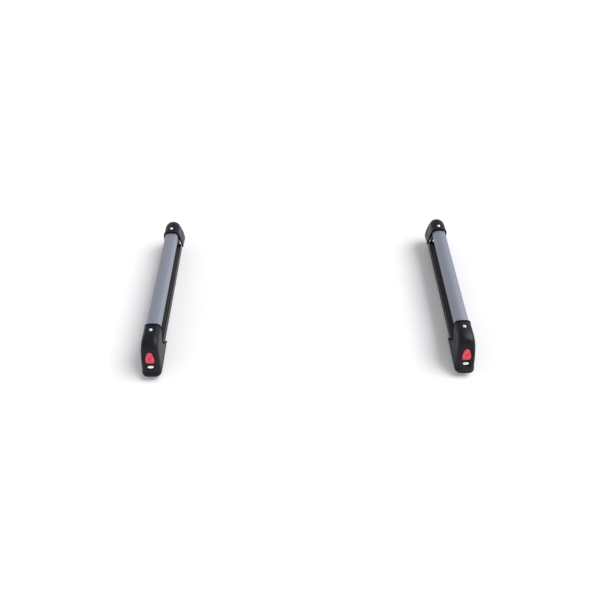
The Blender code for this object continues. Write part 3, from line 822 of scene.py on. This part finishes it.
def release_button():
    """The red button, with a flange below the wall and a stem through the spring."""
    outline = even(button_outline(), BUTTON_POINTS)
    flange = even(button_outline(1.4 * MM), BUTTON_POINTS)
    stack = [[(x, y, height * MM) for x, y in flange] for height in (-8.0, -6.1)]
    stack += [[(x, y, height * MM) for x, y in outline] for height in (-6.0, -0.9)]
    # The rings of the face, close together near its rounded rim, then even up to the middle
    rim = 0.09
    for t in [1.0 - 0.018 * i for i in range(6)] + [0.89 - 0.02 * i for i in range(44)]:
        ring = []
        for x, y in outline:
            px, py = x * t, BUTTON_MIDDLE + (y - BUTTON_MIDDLE) * t
            drop = (1 - min(1.0, (1 - t) / rim)) ** 2
            ring.append((px, py, button_face(px, py) - drop * MM))
        stack.append(ring)
    obj = loft("release_button", stack)
    stem = box("tool", (-3.5 * MM, 3.5 * MM), (STEM_UP - 2 * MM, STEM_UP + 2 * MM),
               (-16.7 * MM, -7 * MM))
    soften(stem, 0.4 * MM, 40)
    cut(obj, stem, "UNION")
    on_slope(obj)
    smooth_by_angle(obj, 40)
    return obj


def button_spring():
    """Coil round the button's stem, with its ends just clear of the flange and the shelf."""
    wire, radius, turns, steps, sides = 0.45 * MM, 5.7 * MM, 2.5, 28, 10
    low, high = SPRING_LOW + wire, SPRING_HIGH - wire
    count = int(turns * steps)
    stack = []
    for i in range(count + 1):
        a = 2 * math.pi * i / steps
        z = low + (high - low) * i / count
        ring = []
        for k in range(sides):
            b = 2 * math.pi * k / sides
            r = radius + wire * math.cos(b)
            ring.append((r * math.cos(a), STEM_UP + r * math.sin(a), z + wire * math.sin(b)))
        stack.append(ring)
    obj = loft("button_spring", stack)
    on_slope(obj)
    smooth_by_angle(obj, 50)
    return obj


def button_face(x, y):
    """Height of the button's face: crowned, hollowed for the thumb, and stepped near its foot."""
    up = (y - BUTTON_MIDDLE) / MM
    across = x / MM
    crown = 1.0 - 0.004 * (across ** 2 + 0.6 * up ** 2)
    hollow = 1.1 * ease(1.3 - math.hypot(across / 7.6, (up - 0.5) / 9.0))
    from_step = y / MM - BUTTON_FOOT / MM - 5.6
    step = 0.8 * ease(0.5 - from_step / 0.9)
    groove = 0.5 * math.exp(-((from_step / 0.7) ** 2))
    return (crown - hollow - (step + groove)) * MM


def button_mark():
    """Small plain arrowhead standing in the button's hollow."""
    reach, shift, tips = 5.0, MARK_SHIFT * MM, []
    for degrees in (90, 210, 330):
        a = math.radians(degrees)
        tips.append((reach * math.cos(a) * MM,
                     BUTTON_MIDDLE + (reach * math.sin(a) + MARK_SHIFT) * MM))
    outline = even(rounded(tips, 1.3 * MM, 6), 60)
    # Each ring: its share of the outline, and how far it stands over the button's face
    rings = ((1.0, -1.2), (1.0, 0.10), (0.95, 0.32), (0.87, 0.42), (0.6, 0.42), (0.25, 0.42))
    stack = []
    for t, rise in rings:
        ring = []
        for x, y in outline:
            px, py = x * t, BUTTON_MIDDLE + shift + (y - BUTTON_MIDDLE - shift) * t
            ring.append((px, py, button_face(px, py) + rise * MM))
        stack.append(ring)
    obj = loft("button_mark", stack)
    on_slope(obj)
    smooth_by_angle(obj, 40)
    return obj


def lock_cylinder():
    """Round barrel with a stepped face, a key slot and the cam at its inner end."""
    face = [(6.4, -19.0), (6.4, -4.8), (6.1, -4.6), (3.15, -4.6), (3.15, -1.65), (3.0, -1.45),
            (2.5, -1.4), (2.35, -1.6), (0.5, -1.6)]
    obj = turned("lock_cylinder", [(r * MM, h * MM) for r, h in face], 48)
    slot = box("tool", (-2.0 * MM, 2.0 * MM), (-0.4 * MM, 0.4 * MM), (-3.4 * MM, 1 * MM))
    cut(obj, slot)
    cam = box("cam", (-3.4 * MM, 7.6 * MM), (-3.0 * MM, 3.0 * MM), (-21.4 * MM, -18.8 * MM))
    cut(obj, cam, "UNION")
    soften(obj, 0.12 * MM, 40)
    obj.data.transform(Matrix.Translation((0, LOCK_UP, 0)))
    on_slope(obj)
    smooth_by_angle(obj, 35)
    return obj


def lock_bezel():
    """Plated surround of the lock, seated in the recess: oval, with ends pinched like a lens."""
    # Each ring: its half width, its half height up the slope, and its height out of it
    rings = [(9.3, 4.5, -3.7), (9.3, 4.5, -2.7), (9.1, 4.35, -2.3), (8.6, 4.15, -2.05),
             (6.6, 3.9, -1.9), (4.8, 3.6, -1.95), (3.6, 3.45, -2.1), (3.35, 3.35, -2.4),
             (3.35, 3.35, -3.7)]
    most = 0.22
    stack = []
    for rx, ry, h in rings:
        pinch = max(0.0, rx - ry) / 6.0
        ring = []
        for x, y, z in oval(rx * MM, ry * MM, 0.0, h * MM, 64):
            lens = 1.0 - pinch * most * abs(x / (rx * MM)) ** 2
            ring.append((x, LOCK_UP + y * lens, z))
        stack.append(ring)
    stack.append(stack[0])
    obj = loft("lock_bezel", stack, caps=False)
    on_slope(obj)
    smooth_by_angle(obj, 50)
    return obj


def rivet(name, y):
    """Domed head with a turned ring, a shank and an expanded tail."""
    tail = [(1.6, 95.0), (3.6, 96.2), (3.8, 98.5), (2.5, 99.0), (2.5, 104.3)]
    head = [(5.3, 104.35), (5.4, 104.7), (5.35, 105.2), (5.0, 105.9), (4.5, 106.45),
            (4.35, 106.45), (4.2, 106.65), (3.6, 107.15), (2.8, 107.6), (1.9, 107.9),
            (1.0, 108.05), (0.4, 108.1)]
    obj = turned(name, [(r * MM, z * MM) for r, z in tail + head], 48)
    obj.data.transform(Matrix.Translation((0, y, 0)))
    smooth_by_angle(obj, 45)
    return obj


def front_rivet():
    return rivet("front_rivet", FRONT_RIVET_Y)


def rear_rivet():
    return rivet("rear_rivet", REAR_RIVET_Y)


def refine(node, body, mat):
    """The CAD node's own shape with its edges rounded."""
    source = frame["nodes"][node]
    obj = bpy.data.objects.new(node + "_fine", source.data.copy())
    bpy.context.scene.collection.objects.link(obj)
    bm = open_mesh(obj)
    bmesh.ops.remove_doubles(bm, verts=bm.verts, dist=MERGE_CAD)
    bmesh.ops.dissolve_limit(bm, angle_limit=math.radians(0.6), verts=bm.verts, edges=bm.edges)
    bmesh.ops.recalc_face_normals(bm, faces=bm.faces)
    close_mesh(bm, obj)
    soften(obj, 0.4 * MM, 32)
    smooth_by_angle(obj, 34)
    obj.data.materials.clear()
    obj.data.materials.append(mat)
    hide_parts(node)
    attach(obj, body)


# ---- camera, floor and light ----

CAMERA_AT = (-0.0318, -1.0824, 1.3588)
CAMERA_DOWN, CAMERA_YAW, CAMERA_ROLL = 51.28, 0.53, -0.21
LENS, SENSOR = 31.2, 36.0
FLOOR_HALF, FLOOR_DROP = 9, 0.0002
KEY_TOWARD, KEY_ANGLE, KEY_STRENGTH = (0.75, 0.2, 1.0), 40, 2.3
SKY_STRENGTH = 1.15


def camera():
    down, yaw, roll = (math.radians(a) for a in (CAMERA_DOWN, CAMERA_YAW, CAMERA_ROLL))
    level = math.cos(down)
    ahead = Vector((math.sin(yaw) * level, math.cos(yaw) * level, -math.sin(down)))
    right = Vector((math.cos(yaw), -math.sin(yaw), 0))
    up = right.cross(ahead)
    across = math.cos(roll) * right + math.sin(roll) * up
    rise = -math.sin(roll) * right + math.cos(roll) * up
    turn = Matrix((across, rise, -ahead)).transposed().to_4x4()
    data = bpy.data.cameras.new("camera")
    data.lens, data.sensor_width, data.sensor_fit = LENS, SENSOR, "HORIZONTAL"
    obj = bpy.data.objects.new("camera", data)
    obj.matrix_world = Matrix.Translation(CAMERA_AT) @ turn
    bpy.context.scene.collection.objects.link(obj)
    bpy.context.scene.camera = obj


def floor():
    """White sweep just below the part."""
    far = FLOOR_HALF
    corners = [(-far, -far, 0), (far, -far, 0), (far, far, 0), (-far, far, 0)]
    obj = add_mesh("floor", corners, [(0, 1, 2, 3)], False)
    obj.location.z = -FLOOR_DROP
    g = Graph("floor")
    cloud = g.noise(3.0, detail=2.0)
    base = g.blend(g.spread(cloud, 0.0, 1.0), (0.90, 0.90, 0.905, 1), (0.925, 0.925, 0.93, 1))
    obj.data.materials.append(g.set(Base_Color=base, Roughness=0.9, Specular_IOR_Level=0.1))


def sun(name, toward, angle, strength):
    data = bpy.data.lights.new(name, "SUN")
    data.angle, data.energy = math.radians(angle), strength
    obj = bpy.data.objects.new(name, data)
    obj.rotation_euler = (-Vector(toward)).to_track_quat("-Z", "Y").to_euler()
    bpy.context.scene.collection.objects.link(obj)


def surroundings():
    """Bright near the horizon and dimmer overhead, like a white sweep under a dark ceiling."""
    world = bpy.data.worlds.new("studio")
    world.use_nodes = True
    tree = world.node_tree
    coord = tree.nodes.new("ShaderNodeTexCoord")
    split = tree.nodes.new("ShaderNodeSeparateXYZ")
    ramp = tree.nodes.new("ShaderNodeValToRGB")
    tree.links.new(coord.outputs["Generated"], split.inputs[0])
    tree.links.new(split.outputs["Z"], ramp.inputs[0])
    tree.links.new(ramp.outputs[0], tree.nodes["Background"].inputs["Color"])
    stops = ramp.color_ramp.elements
    stops[0].position, stops[0].color = 0.0, (1, 1, 1, 1)
    stops[1].position, stops[1].color = 0.75, (0.35, 0.35, 0.36, 1)
    middle = stops.new(0.28)
    middle.color = (0.95, 0.95, 0.96, 1)
    tree.nodes["Background"].inputs["Strength"].default_value = SKY_STRENGTH
    bpy.context.scene.world = world


# ---- putting it together ----


def place(obj, prefix, body, slot, mat, *nodes):
    """Names the piece, moves it to its carrier, paints it and ties it to its body."""
    lo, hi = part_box(prefix + "upper_profile")
    obj.name = prefix + obj.name.split(".")[0] + "_fine"
    obj.data.name = obj.name
    obj.data.transform(Matrix.Translation(((lo.x + hi.x) / 2, 0, 0)))
    obj.data.materials.clear()
    obj.data.materials.append(mat)
    for face in obj.data.polygons:
        face.material_index = 0
    if nodes:
        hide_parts(*nodes)
    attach(obj, body)


def main():
    """Makes a fine piece for every CAD node, and the pieces that only the looks have."""
    mats = {
        "profile_grey": coated_bar("profile_grey_coat", (0.230, 0.247, 0.304), 0.25, 0.42),
        "profile_black": coated_bar("profile_black_coat", (0.011, 0.011, 0.014), 0.1, 0.42),
        "rubber": rubber("black_rubber", (0.013, 0.013, 0.014)),
        "black_plastic": moulded_plastic("grained_black_plastic", (0.008, 0.008, 0.0135), 0.31),
        "red_plastic": gloss_plastic("red_button_plastic", (0.68, 0.045, 0.075)),
        "chrome": bare_metal("polished_chrome", (0.93, 0.94, 0.95), 0.22, dull=0.12),
        "steel": bare_metal("zinc_plated_steel", (0.55, 0.56, 0.58), 0.34, dull=0.5),
    }
    # The beads get a near-black, barely reflecting finish: painted shade for the dark line at the
    # covers' mouths.
    edge_shade_mat = matt_edge("black_edge_painted_shade", (0.0030, 0.0030, 0.0042))
    slots = {part["node"]: part["material_slot"] for part in frame["record"]["subparts"]}
    bodies = frame["record"]["behaviour"]["bodies"]
    makers = (upper_profile, lower_profile, upper_pad, lower_pad, lock_housing, rear_hood,
              release_button, button_spring, lock_cylinder, front_rivet, rear_rivet)
    fine = {maker.__name__: maker for maker in makers}
    for body, nodes in bodies.items():
        for node in nodes:
            prefix, plain = node.split("_", 1)
            slot = slots[node]
            if plain in fine:
                made = fine[plain]()
                if isinstance(made, tuple):
                    made, edge = made
                    smooth_by_angle(edge, 50)
                    # The bead's near-black finish is painted shade for the dark line at the mouth.
                    place(edge, prefix + "_", body, "black_plastic", edge_shade_mat)
                place(made, prefix + "_", body, slot, mats[slot], node)
                if plain == "button_spring":
                    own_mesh(made)
            else:
                refine(node, body, mats[slot])
    mark_mat = gloss_plastic("deep_red_mark", (0.42, 0.006, 0.020))
    for prefix in SIDES:
        place(lock_bezel(), prefix, prefix + "arm", "chrome", mats["chrome"])
        button_body = next(b for b, nodes in bodies.items() if prefix + "release_button" in nodes)
        place(button_mark(), prefix, button_body, "red_plastic", mark_mat)


bpy.context.scene.view_settings.view_transform = "Standard"
camera()
floor()
sun("key", KEY_TOWARD, KEY_ANGLE, KEY_STRENGTH)
surroundings()
main()
